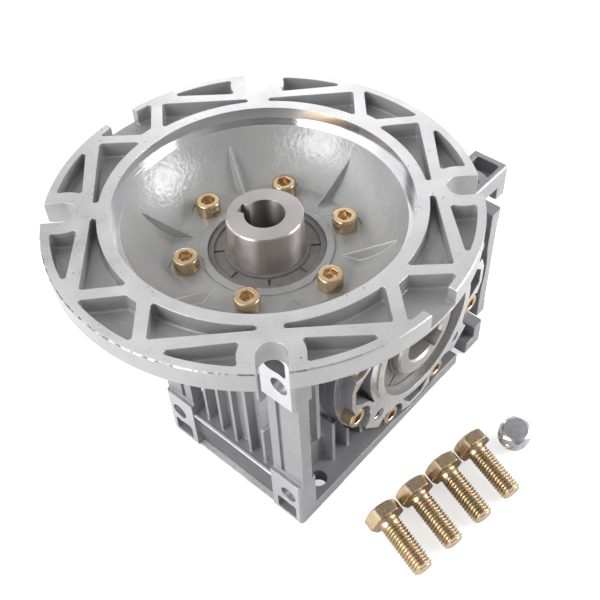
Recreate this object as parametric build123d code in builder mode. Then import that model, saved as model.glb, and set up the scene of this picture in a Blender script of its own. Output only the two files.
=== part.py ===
"""Right-angle worm gear reducer, centre distance 50 mm, 30:1, with a motor flange.

Millimetres, +Z up. The origin is the middle of the hollow output shaft.
The output shaft turns about Y (the cover side is -Y). The worm stands upright
at x = -centre_distance and its motor flange is on top (+Z).
"""
from build123d import *
import os
from math import acos, asin, atan, atan2, cos, degrees, pi, radians, sin, sqrt, tan

os.makedirs("parts", exist_ok=True)

# Gear pair
centre_distance = 50.0
worm_pitch_r = 12.5
wheel_teeth = 30
wheel_module = 2 * (centre_distance - worm_pitch_r) / wheel_teeth
pressure_angle = 20.0
tooth_play = 0.16          # clearance on each flank
tip_play = 0.55            # clearance between tooth tips and roots
wheel_width = 20.0
worm_thread_len = 46.0

# Gear case
case_left = 84.0           # foot face beside the worm
case_right = 60.0          # foot face on the far side
case_half_h = 60.0
case_half_w = 42.5
plate = 8.5
far_wall = 7.5
ledge_left = 80.3          # face of the beam between the feet, and of the fins
ledge_z = 45.8
edge_round = 1.8
foot_step = 2.0            # how far the machined pads stand proud
foot_y = 35.0
foot_z = 40.0
foot_hole_d = 8.5
base_hole_left_x = -64.0
base_hole_right_x = 40.0
drum_r = 53.5
drum_front_y = 31.0
side_plate_y = 36.5        # plate face round the output covers
side_face_y = 43.5         # machined star face
pilot_face_y = 46.0
pilot_r = 35.0
tap_pcd = 85.0
tap_hole_d = 6.8
gear_bore_r = 43.5
rail_in = 25.5
worm_tube_r = 27.0
worm_bore_r = 18.0
fin_t = 2.0
air_fin_t = 1.6
post_t = 6.0

# Motor flange
flange_r = 82.55
flange_top = 91.5
rim_h = 9.3
motor_pilot_r = 57.15
motor_pilot_h = 6.8
ring_in = 62.0
ring_out = 79.2
truss_depth = 7.0
slot_pcd = 149.2
slot_w = 10.6
slot_boss_r = 11.4
bowl_floor_z = 66.8
hub_r = 41.5
flange_screw_pcd = 65.0

# Shafts, bearings and seals (bore d, outside D, width)
motor_bore_d = 15.875
motor_bore_len = 52.0
motor_key_w = 4.76
motor_key_r = 10.4
collar_top = 84.1
output_bore_d = 25.0
output_key_w = 8.0
output_key_h = 28.3
worm_brg_top = (30.0, 55.0, 13.0)
worm_brg_low = (17.0, 40.0, 12.0)
out_brg = (40.0, 68.0, 15.0)
in_seal = (30.0, 47.0, 7.0)
out_seal = (40.0, 62.0, 8.0)
worm_brg_top_z = 43.0
worm_brg_low_z = -52.0
out_brg_y = 18.0

# Fasteners and loose pieces
screw_d = 6.0
screw_head_d = 10.0
screw_head_h = 6.0
hex_socket = 5.0
cover_screw_r = 48.0
flange_screw_len = 20.0
cover_screw_len = 16.0
bolt_d = 10.0
bolt_len = 26.5
bolt_af = 16.0
bolt_head_h = 6.4
plug_af = 13.5
plug_d = 10.0

# Fits, worked out once
slip = 0.03                # turning fit, radial
touch = 0.02               # located fit, radial
shaft_play = 0.05          # shaft under a seal lip
wx = -centre_distance
wheel_pitch_r = wheel_module * wheel_teeth / 2
lead = pi * wheel_module
lead_angle = degrees(atan(lead / (2 * pi * worm_pitch_r)))
worm_tip_r = worm_pitch_r + wheel_module
worm_root_r = worm_pitch_r - wheel_module - tip_play
wheel_tip_r = wheel_pitch_r + wheel_module
wheel_tip_max_r = wheel_tip_r + 0.9
wheel_root_r = wheel_pitch_r - wheel_module - tip_play
flange_low = flange_top - rim_h
saved = []


def block(x0, x1, y0, y1, z0, z1, mode=Mode.ADD):
    """A box between two corners."""
    with Locations(((x0 + x1) / 2, (y0 + y1) / 2, (z0 + z1) / 2)):
        Box(abs(x1 - x0), abs(y1 - y0), abs(z1 - z0), mode=mode)


def rod_z(x, y, r, z0, z1, mode=Mode.ADD):
    with Locations((x, y, (z0 + z1) / 2)):
        Cylinder(r, abs(z1 - z0), mode=mode)


def rod_y(x, z, r, y0, y1, mode=Mode.ADD):
    with Locations(Location((x, (y0 + y1) / 2, z), (90, 0, 0))):
        Cylinder(r, abs(y1 - y0), mode=mode)


def rod_x(y, z, r, x0, x1, mode=Mode.ADD):
    with Locations(Location(((x0 + x1) / 2, y, z), (0, 90, 0))):
        Cylinder(r, abs(x1 - x0), mode=mode)


def polar(r, a):
    return (r * cos(radians(a)), r * sin(radians(a)))


def save(builder, name):
    """Label a finished sub-part and write it to its own file."""
    builder.part.label = name
    export_step(builder.part, f"parts/{name}.step")
    saved.append(name)


def side_plane(sign, y):
    """Sketch plane facing outwards on the -Y (sign -1) or +Y (sign +1) side."""
    return Plane((0, sign * y, 0), x_dir=(-sign, 0, 0), z_dir=(0, sign, 0))


def star_boss(sign):
    """Machined star face round an output opening: ring, lugs, thin walls, pilot."""
    corner = 5.2
    reach = 49.7
    tip = 50.0
    tip_a = 7.3
    outline = []
    for k in range(4):
        for u, v in ((reach, -corner), (reach, corner)):
            c, s = cos(radians(90 * k)), sin(radians(90 * k))
            outline.append((u * c - v * s, u * s + v * c))
        for a in (45 - tip_a, 45 + tip_a):
            outline.append(polar(tip, 90 * k + a))
    with BuildSketch(side_plane(sign, side_plate_y - 1)) as star:
        Polygon(*outline, align=None)
        for k in range(4):
            for side in (-1, 1):
                with Locations(polar(cover_screw_r, 90 * k + side * 22.5),
                               polar(49.7, 90 * k + side * 27.9)):
                    Circle(7.3, mode=Mode.SUBTRACT)
    extrude(star.sketch, amount=side_face_y - side_plate_y + 1)
    with BuildSketch(side_plane(sign, side_face_y)) as windows:
        for k in range(4):
            with Locations(Location((0, 0, 0), (0, 0, 90 * k))):
                Polygon((47.4, -4.4), (47.4, 4.4), (34, 16), (34, -16), align=None)
        Circle(pilot_r + 2.3, mode=Mode.SUBTRACT)
        for k in range(4):
            for side in (-1, 1):
                with Locations(polar(cover_screw_r, 90 * k + side * 22.5)):
                    Circle(9.5, mode=Mode.SUBTRACT)
    extrude(windows.sketch, amount=-(side_face_y - side_plate_y), mode=Mode.SUBTRACT)
    rod_y(0, 0, pilot_r, sign * side_face_y, sign * pilot_face_y)
    with BuildSketch(side_plane(sign, side_face_y)) as taps:
        with PolarLocations(tap_pcd / 2, 4, start_angle=45):
            Circle(tap_hole_d / 2)
    extrude(taps.sketch, amount=-12, mode=Mode.SUBTRACT)


# Block that every cast outer corner of the case is rounded to.
with BuildPart() as envelope:
    block(-case_left, case_right, -case_half_w, case_half_w, -case_half_h, case_half_h)
    fillet(edges(), edge_round)

# Gear case: drum for the wheel, tube for the worm, feet on three faces.
with BuildPart() as gear_case:
    rod_z(wx, 0, worm_tube_r, -case_half_h + plate, case_half_h)
    rod_z(wx, 0, 28.7, -case_half_h + plate, -36)
    for s in (-1, 1):
        # cross fins between tube, drum and plates, cut back round the cover
        block(-62.3, -60.3, s * 20, s * 34, -23, 33)
        for x, z_in in ((-51.4, 27.3), (-41.1, 38.6), (-31.1, 46.1)):
            for t in (-1, 1):
                block(x - fin_t / 2, x + fin_t / 2, s * 18, s * 34, t * (z_in - 6), t * 53)
    rod_y(0, 0, drum_r + 2.3, -36, -drum_front_y, mode=Mode.SUBTRACT)
    rod_y(0, 0, drum_r, -drum_front_y, side_plate_y)
    rod_z(wx, 0, 40.0, 44.0, case_half_h)
    block(-case_left - 8, -case_left, -45, 45, 40, 62, mode=Mode.SUBTRACT)
    # base plate, far wall and the two rails beside the motor flange
    block(-72, case_right, -case_half_w, case_half_w, -case_half_h, -case_half_h + plate)
    block(case_right - far_wall, case_right, -case_half_w, case_half_w, -case_half_h, 44.5)
    block(-ledge_left, -12, -26, 26, case_half_h - plate, case_half_h)
    block(-ledge_left, -70, -26, 26, -case_half_h, -ledge_z)
    block(-ledge_left, -70, -26, 26, ledge_z, case_half_h)
    for s in (-1, 1):
        block(-case_left, case_right, s * rail_in, s * case_half_w,
              case_half_h - plate, case_half_h)
        block(case_right - far_wall, case_right, s * rail_in, s * case_half_w,
              44.5, case_half_h)
        # feet, posts and beams on the worm side
        for t in (-1, 1):
            block(-case_left, -74, s * 25, s * case_half_w, t * 28.5, t * case_half_h)
            block(-case_left + foot_step, -75, s * 26, 0, t * 35, t * 50)
        block(-case_left, -70, s * 25, s * case_half_w, -case_half_h, -case_half_h + plate)
        block(-case_left + foot_step, -case_left + foot_step + post_t,
              s * 25.4, s * case_half_w, -52, 52)
        block(-case_left + 1, -case_left + foot_step + 1.6, s * 30, s * 32.4, -27, 27,
              mode=Mode.SUBTRACT)
        # upright cooling fins on the worm side, the outer ones interrupted
        for y in (0, 9):
            block(-ledge_left, wx - 15, s * y - air_fin_t / 2, s * y + air_fin_t / 2,
                  -ledge_z - 1, ledge_z + 1)
        for t in (-1, 1):
            with BuildSketch(Plane.XZ.offset(-s * 18)):
                Polygon((-ledge_left, t * 47), (wx - 12, t * 47), (wx - 12, t * 10.6),
                        (-ledge_left, t * 10.6), align=None)
                fillet(vertices().sort_by_distance((-ledge_left, t * 10.6))[0], 1.5)
            extrude(amount=air_fin_t / 2, both=True)
    add(envelope.part, mode=Mode.INTERSECT)
    # the output cover slides in past the plates from the front
    rod_y(0, 0, drum_r + 0.5, -46, -drum_front_y, mode=Mode.SUBTRACT)
    star_boss(1)
    # feet: holes, open slots, recesses between the machined pads
    for s in (-1, 1):
        for t in (-1, 1):
            rod_x(s * foot_y, t * foot_z, foot_hole_d / 2, -case_left - 1, -72,
                  mode=Mode.SUBTRACT)
            with BuildSketch(Plane((-case_left, 0, 0), x_dir=(0, 1, 0), z_dir=(-1, 0, 0))):
                with Locations((s * 33.5, -t * 52.2)):
                    RectangleRounded(11, 9.6, 1.6)
                with Locations((s * foot_y, -t * foot_z)):
                    Circle(7.8, mode=Mode.SUBTRACT)
            extrude(amount=-8, mode=Mode.SUBTRACT)
            # open slots in the far wall
            rod_x(s * 35, t * 39.5, 5, 50, 62, mode=Mode.SUBTRACT)
            block(50, 62, s * 35, s * 44, t * 34.5, t * 44.5, mode=Mode.SUBTRACT)
            block(case_right - 10, case_right - far_wall, s * 34, s * 44, t * 34.5, t * 44.5,
                  mode=Mode.SUBTRACT)
        rod_z(base_hole_left_x, s * foot_y, foot_hole_d / 2, -61, -50, mode=Mode.SUBTRACT)
        rod_z(base_hole_left_x, s * foot_y, foot_hole_d / 2, 50, 61, mode=Mode.SUBTRACT)
        rod_z(base_hole_right_x, s * foot_y, foot_hole_d / 2, 50, 61, mode=Mode.SUBTRACT)
        rod_z(42, s * 35, 4.5, -61, -51, mode=Mode.SUBTRACT)
        block(37.5, 46.5, s * 35, s * 44, -61, -51, mode=Mode.SUBTRACT)
        with BuildSketch(Plane.XY.offset(case_half_h)):
            with Locations((51.0, s * 34.3)):
                RectangleRounded(10.4, 11.6, 1.8)
            with Locations((base_hole_right_x, s * foot_y)):
                Circle(7.8, mode=Mode.SUBTRACT)
        extrude(amount=-7, mode=Mode.SUBTRACT)
    block(-54, 26, -43, 43, -61, -case_half_h + foot_step, mode=Mode.SUBTRACT)
    block(case_right - foot_step, 61, -43, 43, -29, 29, mode=Mode.SUBTRACT)
    block(-8, 26, -43, 43, case_half_h - foot_step, 61, mode=Mode.SUBTRACT)
    # inside: wheel chamber, output bearing and seal seats, worm bore and its seats
    rod_y(0, 0, gear_bore_r, -drum_front_y - 1, 17, mode=Mode.SUBTRACT)
    rod_y(0, 0, out_brg[1] / 2, 16, out_brg_y + out_brg[2], mode=Mode.SUBTRACT)
    rod_y(0, 0, out_seal[1] / 2, 32, 47, mode=Mode.SUBTRACT)
    rod_z(wx, 0, worm_bore_r, worm_brg_low_z, case_half_h, mode=Mode.SUBTRACT)
    rod_z(wx, 0, worm_brg_top[1] / 2, worm_brg_top_z, 61, mode=Mode.SUBTRACT)
    rod_z(wx, 0, worm_brg_low[1] / 2, -61, worm_brg_low_z + worm_brg_low[2],
          mode=Mode.SUBTRACT)
    # tapped holes for the flange and cover screws, and the filler opening
    with BuildSketch(Plane((wx, 0, case_half_h))):
        with PolarLocations(flange_screw_pcd / 2, 6, start_angle=30):
            Circle(screw_d / 2)
    extrude(amount=-15, mode=Mode.SUBTRACT)
    with BuildSketch(side_plane(-1, drum_front_y)):
        with PolarLocations(cover_screw_r, 8, start_angle=22.5):
            Circle(screw_d / 2)
    extrude(amount=-13, mode=Mode.SUBTRACT)
    rod_x(0, 0, plug_d / 2, 42, 61, mode=Mode.SUBTRACT)
save(gear_case, "gear_case")

# Output cover, the removable twin of the case's own star face.
with BuildPart() as output_cover:
    rod_y(0, 0, drum_r, -side_plate_y, -drum_front_y)
    rod_y(0, 0, gear_bore_r - touch, -drum_front_y, -18)
    star_boss(-1)
    rod_y(0, 0, gear_bore_r + 1, -29, -27.2, mode=Mode.SUBTRACT)
    rod_y(0, 0, gear_bore_r - 1.5, -29.5, -26.7)
    rod_y(0, 0, out_seal[1] / 2, -47, -32, mode=Mode.SUBTRACT)
    rod_y(0, 0, out_brg[1] / 2, -(out_brg_y + out_brg[2]), -17, mode=Mode.SUBTRACT)
    with BuildSketch(side_plane(-1, side_plate_y)):
        with PolarLocations(cover_screw_r, 8, start_angle=22.5):
            Circle(screw_d / 2 + 0.3)
    extrude(amount=-6, mode=Mode.SUBTRACT)
save(output_cover, "output_cover")

with BuildPart() as cover_o_ring:
    rod_y(0, 0, gear_bore_r, -29, -27.2)
    rod_y(0, 0, gear_bore_r - 1.5, -30, -26, mode=Mode.SUBTRACT)
save(cover_o_ring, "cover_o_ring")

with BuildPart() as rear_cap:
    rod_z(wx, 0, worm_brg_low[1] / 2, -59.5, -54)
    rod_z(wx, 0, 15, -60, -58.2, mode=Mode.SUBTRACT)
save(rear_cap, "rear_cap")

# One gusset rib of the flange bowl: a roof-shaped ridge from the floor to the wall.
rib_low = (27.8, 65.76)
rib_high = (51.6, 78.8)
rib_depth = 5.0
rib_run = (rib_high[0] - rib_low[0], rib_high[1] - rib_low[1])
with BuildPart() as bowl_rib:
    with BuildSketch(Plane((rib_low[0], 0, rib_low[1]), x_dir=(0, 1, 0),
                           z_dir=(rib_run[0], 0, rib_run[1]))):
        Polygon((-0.3, 0), (0.3, 0), (2.35, -rib_depth), (-2.35, -rib_depth), align=None)
    extrude(amount=sqrt(rib_run[0] ** 2 + rib_run[1] ** 2))

# Motor flange: cast bowl under a braced ring with four open bolt slots.
with BuildPart() as input_flange:
    with BuildSketch(Plane((wx, 0, 0), x_dir=(1, 0, 0), z_dir=(0, -1, 0))):
        with BuildLine():
            Polyline((54.6, flange_top - motor_pilot_h), (motor_pilot_r, flange_top - motor_pilot_h),
                     (motor_pilot_r, flange_top), (flange_r - 0.4, flange_top),
                     (flange_r, flange_top - 0.4), (flange_r, flange_low + 1.2),
                     (flange_r - 0.35, flange_low + 0.35), (flange_r - 1.2, flange_low),
                     (61.5, flange_low), (60.0, 80.0), (hub_r + 1, 62.5), (hub_r, 61.5),
                     (hub_r, case_half_h), (worm_brg_top[1] / 2 - touch, case_half_h),
                     (worm_brg_top[1] / 2 - touch, 56.0), (21.0, 56.0), (21.0, 59.5),
                     (in_seal[1] / 2, 59.5), (in_seal[1] / 2, 67.6), (26.6, 67.6),
                     (27.0, bowl_floor_z), (37.0, bowl_floor_z))
            ThreePointArc((37.0, bowl_floor_z), (47.4, 74.15), (54.6, flange_top - motor_pilot_h))
        make_face()
    revolve(axis=Axis((wx, 0, 0), (0, 0, 1)))
    with BuildSketch(Plane((wx, 0, flange_top))):
        with PolarLocations(0, 4):
            Polygon(polar(65.3, -2.3), polar(65.3, 2.3), polar(82, 11.6), polar(82, -11.6),
                    align=None)
            for s in (1, -1):
                Polygon(polar(81, s * 14.6), polar(68.8, s * 38.2), polar(82, s * 40),
                        polar(86, s * 26), align=None)
                Polygon(polar(60, s * 4.0), polar(76.2, s * 13), polar(64.2, s * 41),
                        polar(58, s * 41.6), polar(54, s * 20), align=None)
        Circle(ring_out, mode=Mode.INTERSECT)
        Circle(ring_in, mode=Mode.SUBTRACT)
        with PolarLocations(slot_pcd / 2, 4, start_angle=45):
            Circle(slot_boss_r, mode=Mode.SUBTRACT)
        fillet(vertices(), 1.1)
    extrude(amount=-truss_depth, mode=Mode.SUBTRACT)
    pocket_floor = flange_top - truss_depth
    fillet(edges().filter_by_position(Axis.Z, pocket_floor - 0.01, pocket_floor + 0.01), 0.9)
    with BuildSketch(Plane((wx, 0, flange_top + 1))):
        with PolarLocations(slot_pcd / 2, 4, start_angle=45):
            Circle(slot_w / 2)
        with PolarLocations(slot_pcd / 2 + 10, 4, start_angle=45):
            Rectangle(20, slot_w)
    extrude(amount=-(rim_h + 2), mode=Mode.SUBTRACT)
    for s in (-1, 1):
        block(wx - 7, wx + 7, s * 78, s * 84, flange_top - truss_depth, 93, mode=Mode.SUBTRACT)
    with Locations((wx, 0, 0)):
        with PolarLocations(0, 6):
            add(bowl_rib.part)
    with BuildSketch(Plane((wx, 0, bowl_floor_z))):
        with PolarLocations(flange_screw_pcd / 2, 6, start_angle=30):
            Circle(6.8)
    extrude(amount=8, mode=Mode.SUBTRACT)
    with BuildSketch(Plane((wx, 0, bowl_floor_z))):
        with PolarLocations(flange_screw_pcd / 2, 6, start_angle=30):
            Circle(screw_d / 2 + 0.3)
    extrude(amount=-8, mode=Mode.SUBTRACT)
save(input_flange, "input_flange")


def cap_screw(length):
    """Socket head screw standing on z = 0, shank down."""
    Cylinder(screw_head_d / 2, screw_head_h, align=(Align.CENTER, Align.CENTER, Align.MIN))
    with BuildSketch(Plane.XY.offset(screw_head_h)) as socket:
        RegularPolygon(hex_socket / 2, 6, major_radius=False)
    extrude(socket.sketch, amount=-3, mode=Mode.SUBTRACT)
    Cylinder(screw_d / 2 - slip, length, align=(Align.CENTER, Align.CENTER, Align.MAX))


with BuildPart() as flange_screw:
    cap_screw(flange_screw_len)
with BuildPart() as flange_screws:
    with Locations((wx, 0, bowl_floor_z)):
        with PolarLocations(flange_screw_pcd / 2, 6, start_angle=30):
            add(flange_screw.part)
save(flange_screws, "flange_screws")

with BuildPart() as cover_screw:
    cap_screw(cover_screw_len)
with BuildPart() as cover_screws:
    for k in range(8):
        x, z = polar(cover_screw_r, 22.5 + 45 * k)
        with Locations(Location((x, -side_plate_y, z), (90, 0, 0))):
            add(cover_screw.part)
save(cover_screws, "cover_screws")

# Filler plug, a flush socket plug in the far wall.
with BuildPart() as filler_plug:
    rod_x(0, 0, plug_d / 2 - slip, 46, 57)
    with BuildSketch(Plane((57, 0, 0), x_dir=(0, 1, 0), z_dir=(1, 0, 0))):
        RegularPolygon(hex_socket / 2, 6, major_radius=False)
    extrude(amount=-4.5, mode=Mode.SUBTRACT)
save(filler_plug, "filler_plug")


def ring(plane, r_out, r_in, h, mode=Mode.ADD):
    with BuildSketch(plane) as band:
        Circle(r_out)
        Circle(r_in, mode=Mode.SUBTRACT)
    extrude(band.sketch, amount=h, mode=mode)


def lip_seal(plane, size, notches):
    """Shaft seal standing on a plane, outer face up: rim, sunk face, lip, notches."""
    d, big, h = size
    r, rb = d / 2, big / 2
    ring(plane, rb, r + shaft_play, h)
    ring(plane.offset(h), rb - 2.4, r + 1.8, -0.8, Mode.SUBTRACT)
    with BuildSketch(plane.offset(h - 0.8)) as marks:
        with PolarLocations((rb + r) / 2 + 0.4, notches):
            Rectangle(rb - r - 3.4, 1.0)
    extrude(marks.sketch, amount=-0.8, mode=Mode.SUBTRACT)


with BuildPart() as input_seal:
    lip_seal(Plane((wx, 0, 59.5)), in_seal, 8)
save(input_seal, "input_seal")

for name, s in (("output_seal_front", -1), ("output_seal_rear", 1)):
    with BuildPart() as output_seal:
        lip_seal(side_plane(s, 34), out_seal, 8)
    save(output_seal, name)


def ball_radius(size):
    return 0.29 * (size[1] - size[0]) / 2


def race(plane, size, inner):
    """One ring of a ball bearing with its raceway groove."""
    d, big, w = size
    rm, rb = (d + big) / 4, ball_radius(size)
    gap = 0.5 * rb
    r_in, r_out = (d / 2, rm - gap) if inner else (rm + gap, big / 2)
    if inner:
        r_in += slip
    else:
        r_out -= touch
    with BuildSketch(Plane(plane.origin, x_dir=plane.x_dir, z_dir=plane.y_dir)) as section:
        with Locations(((r_in + r_out) / 2, -w / 2)):
            Rectangle(r_out - r_in, w)
        with Locations((rm, -w / 2)):
            Circle(rb + slip, mode=Mode.SUBTRACT)
    revolve(section.sketch, axis=Axis(plane.origin, plane.z_dir))


def balls(plane, size, count):
    rm, rb = (size[0] + size[1]) / 4, ball_radius(size)
    with Locations(plane.offset(size[2] / 2)):
        with PolarLocations(rm, count):
            Sphere(rb)


bearings = (
    ("worm_top_bearing", Plane((wx, 0, worm_brg_top_z)), worm_brg_top, 8),
    ("worm_low_bearing", Plane((wx, 0, worm_brg_low_z)), worm_brg_low, 7),
    ("output_front_bearing", side_plane(-1, out_brg_y), out_brg, 9),
    ("output_rear_bearing", side_plane(1, out_brg_y), out_brg, 9),
)
for name, plane, size, count in bearings:
    for label, inner in (("outer", False), ("inner", True)):
        with BuildPart() as bearing_ring:
            race(plane, size, inner)
        save(bearing_ring, f"{name}_{label}")
    with BuildPart() as ball_set:
        balls(plane, size, count)
    save(ball_set, f"{name}_balls")

# Worm shaft: hollow keyed collar on top, one thread start, lower journal.
thread_half = lead / 4 - tooth_play
flank = tan(radians(pressure_angle))
sink = 0.6
with BuildPart() as worm_thread:
    with BuildLine() as helix:
        Helix(lead, worm_thread_len, worm_pitch_r)
    with BuildSketch(Plane(origin=helix.line @ 0, x_dir=(1, 0, 0), z_dir=helix.line % 0)):
        deep = wheel_module + tip_play + sink
        Polygon((-deep, -thread_half - deep * flank), (wheel_module, -thread_half + wheel_module * flank),
                (wheel_module, thread_half - wheel_module * flank), (-deep, thread_half + deep * flank),
                align=None)
    sweep(path=helix.line, is_frenet=True)

with BuildPart() as worm_shaft:
    rod_z(wx, 0, worm_root_r, -37, 26)
    turns = worm_thread_len / lead
    with Locations(Location((wx, 0, -worm_thread_len / 2), (0, 0, -360 * (turns / 2 % 1)))):
        add(worm_thread.part)
    block(wx - 20, wx + 20, -20, 20, 22, 30, mode=Mode.SUBTRACT)
    block(wx - 20, wx + 20, -20, 20, -30, -22, mode=Mode.SUBTRACT)
    rod_z(wx, 0, worm_root_r, -37, 26)
    rod_z(wx, 0, 11.0, -40, -36)
    rod_z(wx, 0, worm_brg_low[0] / 2, -54.0, -40)
    rod_z(wx, 0, worm_brg_top[0] / 2, 24, collar_top)
    rod_z(wx, 0, 17.3, 40, worm_brg_top_z)
    chamfer(faces().filter_by(Axis.Z).sort_by(Axis.Z)[-1].edges(), 0.5)
    rod_z(wx, 0, motor_bore_d / 2, collar_top - motor_bore_len, collar_top + 1, mode=Mode.SUBTRACT)
    with BuildSketch(Plane((wx, 0, collar_top))):
        with Locations(Location((0, 0, 0), (0, 0, 110))):
            with Locations((motor_key_r / 2, 0)):
                Rectangle(motor_key_r, motor_key_w)
    extrude(amount=-motor_bore_len, mode=Mode.SUBTRACT)
    ring_groove = Plane((wx, 0, worm_brg_top_z + worm_brg_top[2] + 0.1))
    with BuildSketch(ring_groove):
        Circle(17)
        Circle(14.3, mode=Mode.SUBTRACT)
    extrude(amount=1.5, mode=Mode.SUBTRACT)
save(worm_shaft, "worm_shaft")

with BuildPart() as worm_top_circlip:
    ring(ring_groove, 16.8, 14.3 + slip, 1.4)
    with BuildSketch(ring_groove):
        with Locations((0, -16)):
            Rectangle(5, 8)
    extrude(amount=1.4, mode=Mode.SUBTRACT)
save(worm_top_circlip, "worm_top_circlip")

# Hollow output shaft with the hub that carries the wheel rim.
hub_rim_r = wheel_root_r - 5.45
with BuildPart() as output_shaft:
    rod_y(0, 0, out_brg[0] / 2, -pilot_face_y, pilot_face_y)
    chamfer(edges().filter_by(GeomType.CIRCLE), 0.8)
    rod_y(0, 0, 24, -out_brg_y, out_brg_y)
    rod_y(0, 0, hub_rim_r, -wheel_width / 2 + 1, wheel_width / 2 - 1)
    rod_y(0, 0, output_bore_d / 2, -47, 47, mode=Mode.SUBTRACT)
    for s in (-1, 1):
        with BuildSketch(side_plane(s, pilot_face_y)):
            Circle(output_bore_d / 2 + 0.9)
        extrude(amount=-0.9, taper=45, mode=Mode.SUBTRACT)
    with BuildSketch(side_plane(-1, pilot_face_y)):
        with Locations(Location((0, 0, 0), (0, 0, -45))):
            with Locations(((output_key_h - output_bore_d / 2) / 2, 0)):
                Rectangle(output_key_h - output_bore_d / 2, output_key_w)
    extrude(amount=-2 * pilot_face_y, mode=Mode.SUBTRACT)
save(output_shaft, "output_shaft")


def inv(a):
    return tan(a) - a


def wheel_outline(turn):
    """Toothed outline of the wheel; gap centred on the worm side, turned in degrees."""
    base_r = wheel_pitch_r * cos(radians(pressure_angle))
    play = tooth_play / wheel_pitch_r
    pts = []
    for k in range(wheel_teeth):
        mid = 180 + turn + 360 / wheel_teeth * (k + 0.5)
        flankpts = []
        for r in (wheel_root_r, base_r + 0.4, wheel_pitch_r, wheel_pitch_r + 0.68 * wheel_module,
                  wheel_tip_max_r):
            a = acos(min(1.0, base_r / max(r, base_r + 0.05)))
            half = pi / (2 * wheel_teeth) + inv(radians(pressure_angle)) - inv(a) - play
            flankpts.append((r, degrees(half)))
        pts += [polar(r, mid - h) for r, h in flankpts]
        pts += [polar(r, mid + h) for r, h in reversed(flankpts)]
    return pts


twist = degrees(wheel_width / 2 * tan(radians(lead_angle)) / wheel_pitch_r)
with BuildPart() as worm_wheel_rim:
    for s in (-1, 1):
        # local angles on the XZ plane run opposite to turns about +Y
        with BuildSketch(Plane.XZ.offset(-s * wheel_width / 2)):
            Polygon(*wheel_outline(-s * twist), align=None)
    loft(ruled=True)
    # throat that follows the worm
    with BuildSketch(Plane.XY):
        with Locations((wx, 0)):
            Circle(centre_distance - wheel_tip_r)
    revolve(axis=Axis.Y, mode=Mode.SUBTRACT)
    rod_y(0, 0, hub_rim_r, -12, 12, mode=Mode.SUBTRACT)
save(worm_wheel_rim, "worm_wheel_rim")

# Four hex bolts laid out beside the reducer, as they are supplied.
lay_angle = -105.0
with BuildPart() as loose_bolt:
    with BuildSketch(Plane.YZ):
        RegularPolygon(bolt_af / 2, 6, major_radius=False)
    extrude(amount=-bolt_head_h)
    with BuildSketch(Plane.YZ.offset(-bolt_head_h)):
        Circle(bolt_af / 2 * 0.97)
    extrude(amount=bolt_head_h + 3, taper=-30, mode=Mode.INTERSECT)
    rod_x(0, 0, bolt_d / 2, -1, bolt_len)
    chamfer(edges().filter_by(GeomType.CIRCLE).sort_by(Axis.X)[-1], 0.8)
lay_tilt = degrees(atan((bolt_af / 2 - bolt_d / 2) / bolt_len))
lay_z = -case_half_h + bolt_af / 2 * cos(radians(lay_tilt))
with BuildPart() as mounting_bolts:
    for k in range(4):
        x, y = -60.4 + 18.75 * k, -72.9 - 2.97 * k
        with Locations(Location((x, y, lay_z), (0, 0, lay_angle))
                       * Location((0, 0, 0), (0, lay_tilt, 0))):
            add(loose_bolt.part)
save(mounting_bolts, "mounting_bolts")

# Breather plug supplied loose with its washer, leaning on its thread end.
plug_thread = 7.0
plug_head = 6.0
lean = 9.0
lean_z = (-case_half_h + plug_thread * cos(radians(lean))
          + plug_d / 2 * sin(radians(lean)))
plug_place = (Location((14.2, -91.5, lean_z), (0, 0, -137.5))
              * Location((0, 0, 0), (0, lean, 0)))
with BuildPart() as plug:
    with BuildSketch(Plane.XY.offset(1.6)):
        RegularPolygon(plug_af / 2, 6, major_radius=False)
    extrude(amount=plug_head)
    with BuildSketch(Plane.XY.offset(1.6 + plug_head)):
        Circle(plug_af / 2 * 0.96)
    extrude(amount=-plug_head - 3, taper=-30, mode=Mode.INTERSECT)
    Cylinder(7.7, 1.6, align=(Align.CENTER, Align.CENTER, Align.MIN))
    Cylinder(plug_d / 2, plug_thread, align=(Align.CENTER, Align.CENTER, Align.MAX))
with BuildPart() as vent_plug:
    with Locations(plug_place):
        add(plug.part)
save(vent_plug, "vent_plug")

with BuildPart() as washer:
    ring(Plane.XY.offset(-1.2), 7.5, plug_d / 2 + slip, 1.2)
with BuildPart() as vent_washer:
    with Locations(plug_place):
        add(washer.part)
save(vent_washer, "vent_washer")

print(len(saved), "sub-parts:", ", ".join(saved))
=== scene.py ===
"""Looks of the worm gear reducer: finishes, threads, studio and camera. Metres."""
import math
import bmesh
import bpy
from mathutils import Matrix, Vector


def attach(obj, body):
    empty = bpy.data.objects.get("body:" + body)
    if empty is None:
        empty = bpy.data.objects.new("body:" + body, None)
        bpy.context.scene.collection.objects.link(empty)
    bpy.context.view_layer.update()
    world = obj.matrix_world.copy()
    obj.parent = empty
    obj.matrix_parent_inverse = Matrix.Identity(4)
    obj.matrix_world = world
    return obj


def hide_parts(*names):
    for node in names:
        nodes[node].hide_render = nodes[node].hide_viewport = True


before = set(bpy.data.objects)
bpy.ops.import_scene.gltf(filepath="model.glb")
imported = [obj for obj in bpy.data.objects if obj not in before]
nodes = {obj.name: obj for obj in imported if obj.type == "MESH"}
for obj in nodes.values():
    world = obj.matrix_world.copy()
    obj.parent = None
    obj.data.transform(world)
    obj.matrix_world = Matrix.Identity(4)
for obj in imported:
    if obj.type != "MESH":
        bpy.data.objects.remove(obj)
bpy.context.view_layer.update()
MM = 0.001

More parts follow.
